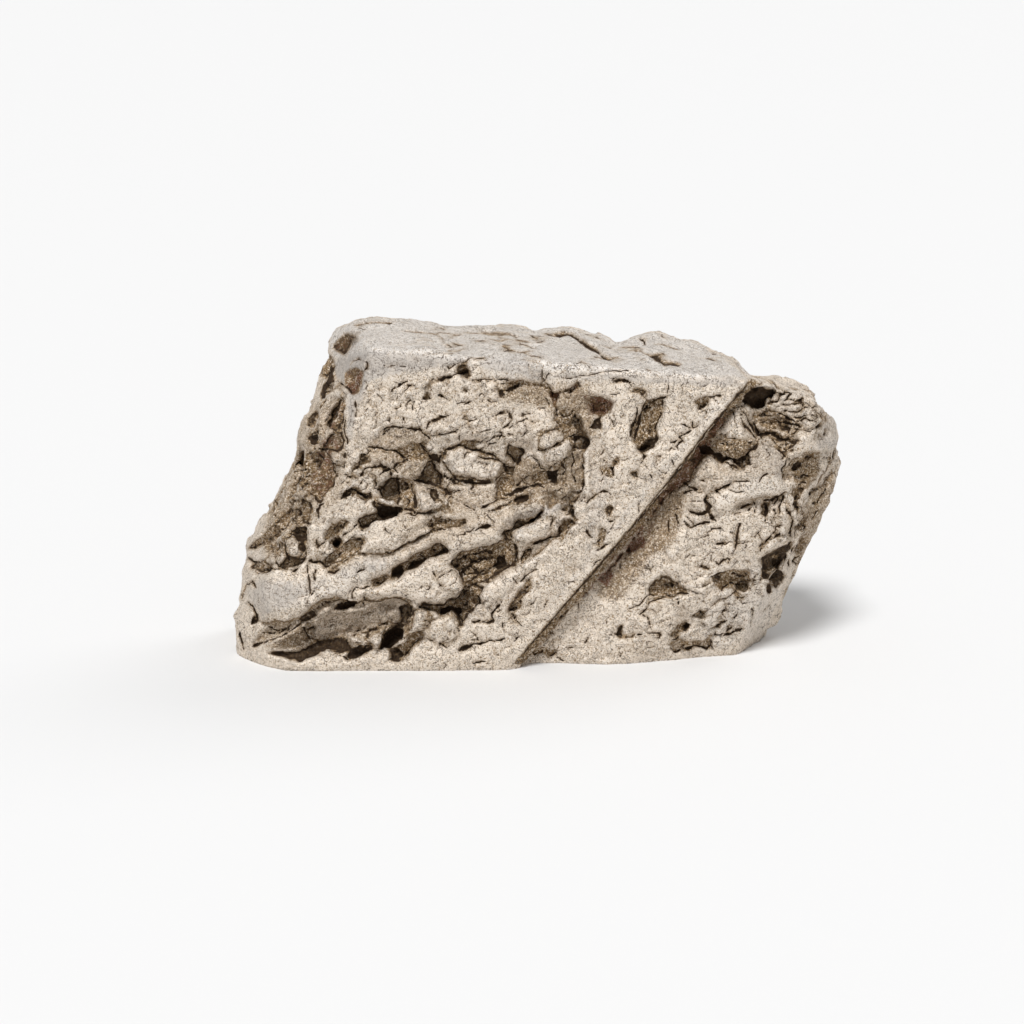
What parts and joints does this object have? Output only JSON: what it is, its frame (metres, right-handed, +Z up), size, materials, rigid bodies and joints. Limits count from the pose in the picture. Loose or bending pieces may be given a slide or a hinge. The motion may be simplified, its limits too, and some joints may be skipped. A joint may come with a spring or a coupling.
{
  "type": "iron meteorite",
  "caption": "Blocky fragment of coarse nickel-iron meteorite, torn along its crystal plates, that stands on a flat broken underside.",
  "frame": {"origin": "middle of the bounding box on the surface that the fragment stands on", "axes": "+X along the length, from the stepped left end to the undercut right end; -Y out of the broad torn face with the diagonal band; +Z up"},
  "size_m": [0.0366, 0.0144, 0.0194],
  "materials": {
    "nickel_iron": "torn nickel-iron, matte grey-beige on the high plates, brown oxide in the gaps and pits"
  },
  "bodies": {
    "root": {"meteorite": "nickel_iron"}
  },
  "joints": []
}
